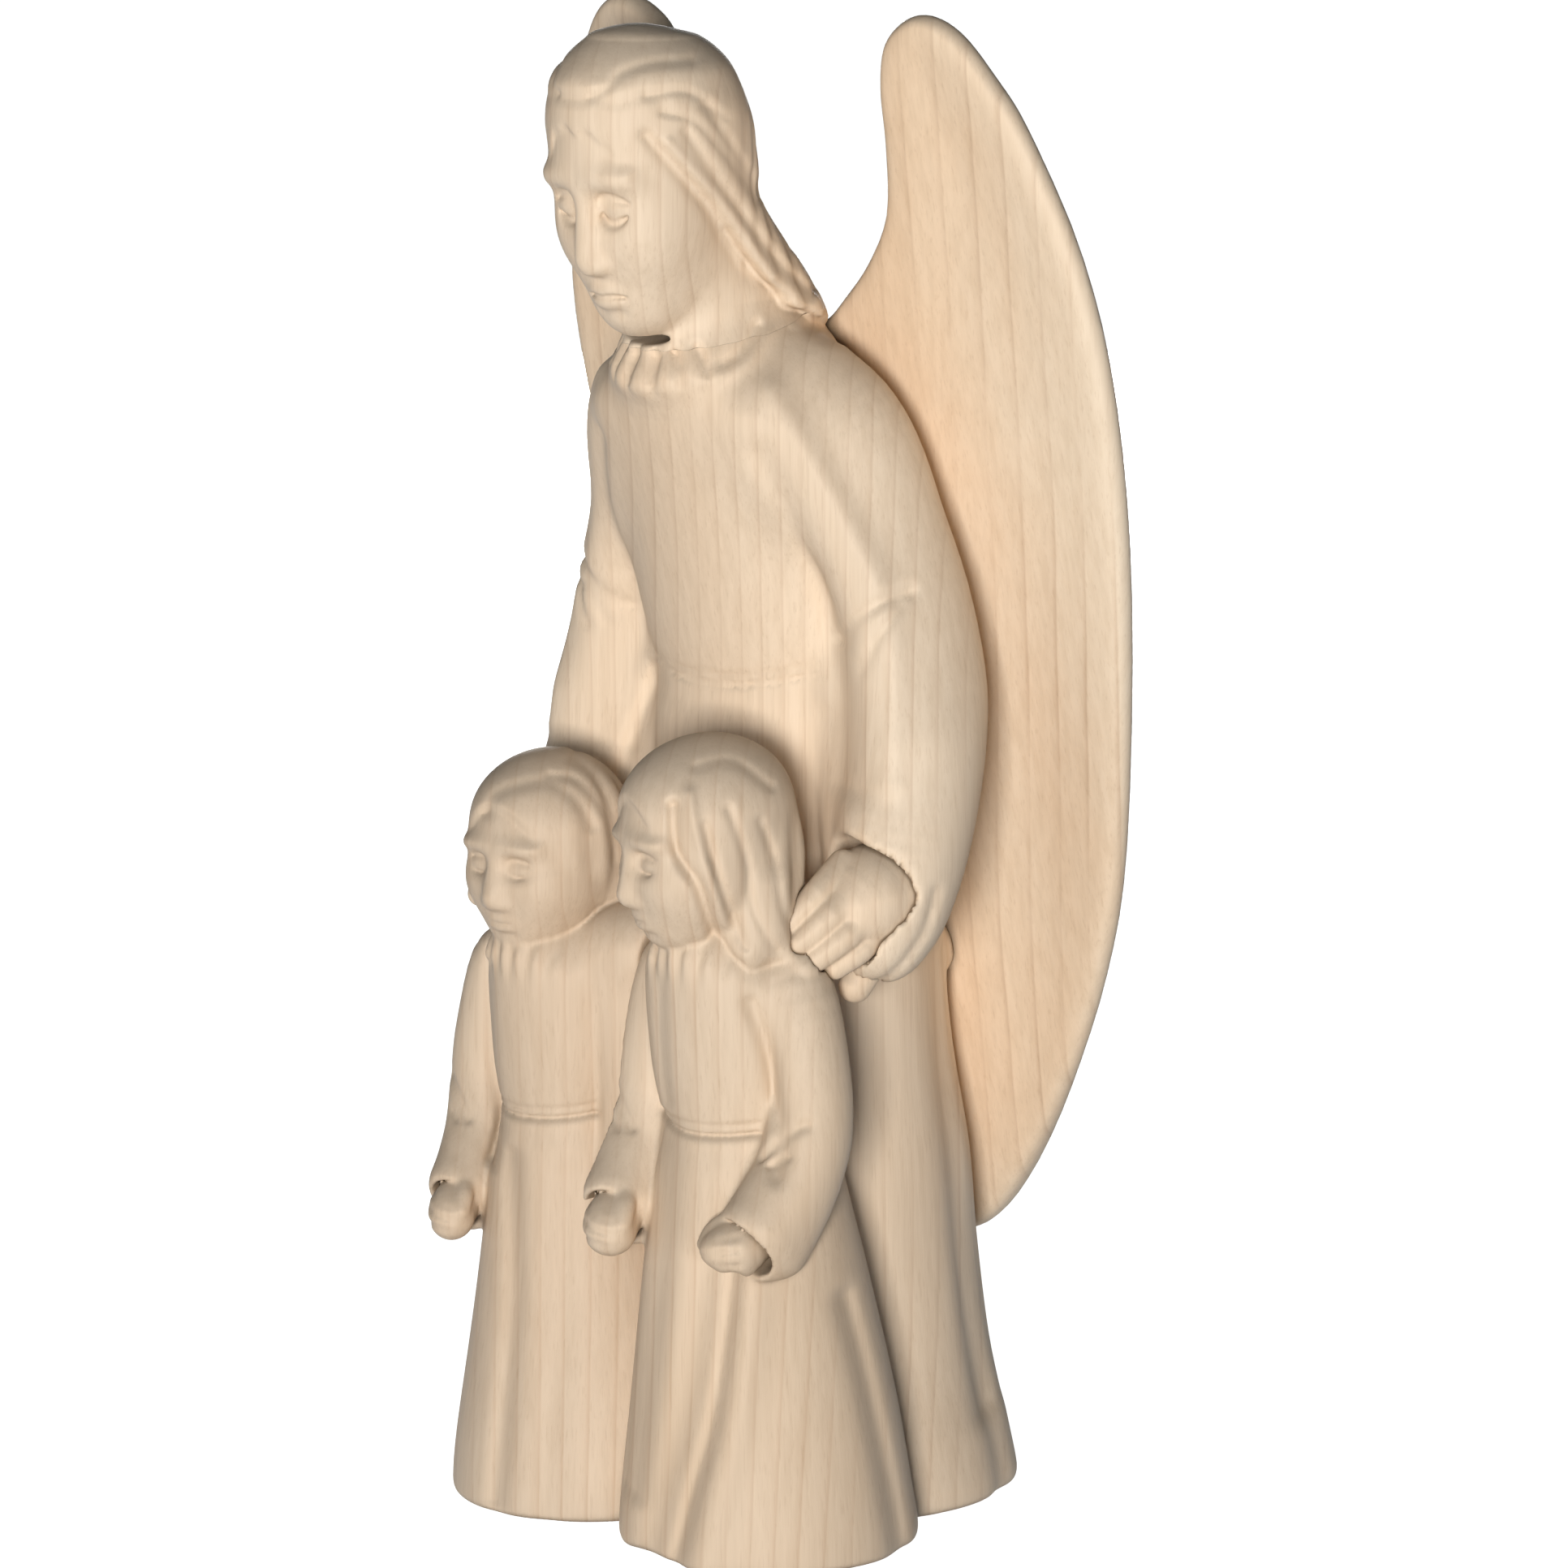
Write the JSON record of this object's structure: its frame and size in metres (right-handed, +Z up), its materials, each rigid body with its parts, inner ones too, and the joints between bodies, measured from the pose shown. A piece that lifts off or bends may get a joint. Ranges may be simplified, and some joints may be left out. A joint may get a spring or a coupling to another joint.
{
  "type": "guardian angel carving",
  "caption": "Free-standing pale wood carving of a robed angel with raised wings, bowing over children who stand in front of the robe.",
  "frame": {"origin": "on the floor, in the middle of the group's footprint box", "axes": "+Z up, -Y the way the angel and the children face, +X the angel's left"},
  "size_m": [0.1, 0.0782, 0.2],
  "materials": {
    "carved_wood": "smooth sanded maple, unstained, matt",
    "dowel_wood": "turned beech, raw"
  },
  "bodies": {
    "root": {"angel_body": "carved_wood", "angel_head": "carved_wood", "wing_left": "carved_wood", "wing_right": "carved_wood", "left_hand": "carved_wood", "right_hand": "carved_wood", "girl_figure": "carved_wood", "boy_figure": "carved_wood", "head_dowel": "dowel_wood", "wing_dowel_left_lower": "dowel_wood", "wing_dowel_left_upper": "dowel_wood", "wing_dowel_right_lower": "dowel_wood", "wing_dowel_right_upper": "dowel_wood", "girl_dowel_lower": "dowel_wood", "girl_dowel_upper": "dowel_wood", "boy_dowel_lower": "dowel_wood", "boy_dowel_upper": "dowel_wood"}
  },
  "joints": []
}
